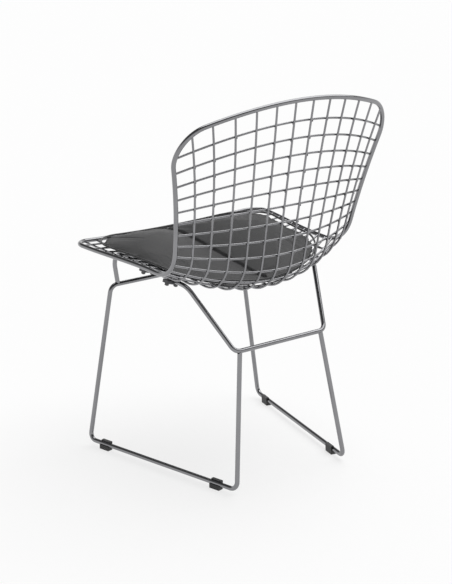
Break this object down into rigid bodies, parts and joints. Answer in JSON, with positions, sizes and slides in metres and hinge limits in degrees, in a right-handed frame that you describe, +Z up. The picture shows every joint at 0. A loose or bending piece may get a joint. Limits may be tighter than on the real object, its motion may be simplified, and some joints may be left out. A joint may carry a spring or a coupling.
{
  "type": "wire mesh side chair",
  "caption": "Side chair with a curved welded wire mesh seat and back in one shell, on a bent rod base with runners, with a loose upholstered seat pad.",
  "frame": {"origin": "on the floor, under the middle of the whole chair", "axes": "+Z up, -Y the way the chair faces, +X the sitter's left"},
  "size_m": [0.512, 0.4988, 0.778],
  "materials": {
    "rim_chrome": "polished chrome plating",
    "mesh_chrome": "polished chrome plating",
    "base_chrome": "polished chrome plating",
    "clamp_steel": "zinc plated",
    "bolt_steel": "zinc plated",
    "glide_plastic": "black moulded plastic",
    "pad_leather": "black grained leatherette, satin",
    "pad_foam": "upholstery foam",
    "pad_panel": "stiff panel"
  },
  "bodies": {
    "root": {"rim": "rim_chrome", "long_wire_left_1": "mesh_chrome", "long_wire_right_1": "mesh_chrome", "long_wire_left_2": "mesh_chrome", "long_wire_right_2": "mesh_chrome", "long_wire_left_3": "mesh_chrome", "long_wire_right_3": "mesh_chrome", "long_wire_left_4": "mesh_chrome", "long_wire_right_4": "mesh_chrome", "long_wire_left_5": "mesh_chrome", "long_wire_right_5": "mesh_chrome", "long_wire_left_6": "mesh_chrome", "long_wire_right_6": "mesh_chrome", "cross_wire_01": "mesh_chrome", "cross_wire_02": "mesh_chrome", "cross_wire_03": "mesh_chrome", "cross_wire_04": "mesh_chrome", "cross_wire_05": "mesh_chrome", "cross_wire_06": "mesh_chrome", "cross_wire_07": "mesh_chrome", "cross_wire_08": "mesh_chrome", "cross_wire_09": "mesh_chrome", "cross_wire_10": "mesh_chrome", "cross_wire_11": "mesh_chrome", "cross_wire_12": "mesh_chrome", "cross_wire_13": "mesh_chrome", "cross_wire_14": "mesh_chrome", "cross_wire_15": "mesh_chrome", "cross_wire_16": "mesh_chrome", "cross_wire_17": "mesh_chrome", "cross_wire_18": "mesh_chrome", "cross_wire_19": "mesh_chrome", "cross_wire_20": "mesh_chrome", "cross_wire_21": "mesh_chrome", "cross_wire_22": "mesh_chrome", "leg_rod": "base_chrome", "support_rod": "base_chrome", "glide_front_left": "glide_plastic", "clamp_front_left_plate": "clamp_steel", "clamp_front_left_saddle": "clamp_steel", "glide_front_right": "glide_plastic", "clamp_front_right_plate": "clamp_steel", "clamp_front_right_saddle": "clamp_steel", "glide_rear_left": "glide_plastic", "clamp_rear_left_plate": "clamp_steel", "clamp_rear_left_saddle": "clamp_steel", "glide_rear_right": "glide_plastic", "clamp_rear_right_plate": "clamp_steel", "clamp_rear_right_saddle": "clamp_steel", "clamp_bolts": "bolt_steel", "clamp_nuts": "bolt_steel", "pad_cover": "pad_leather", "pad_piping": "pad_leather", "pad_foam": "pad_foam", "pad_base": "pad_panel"}
  },
  "joints": []
}
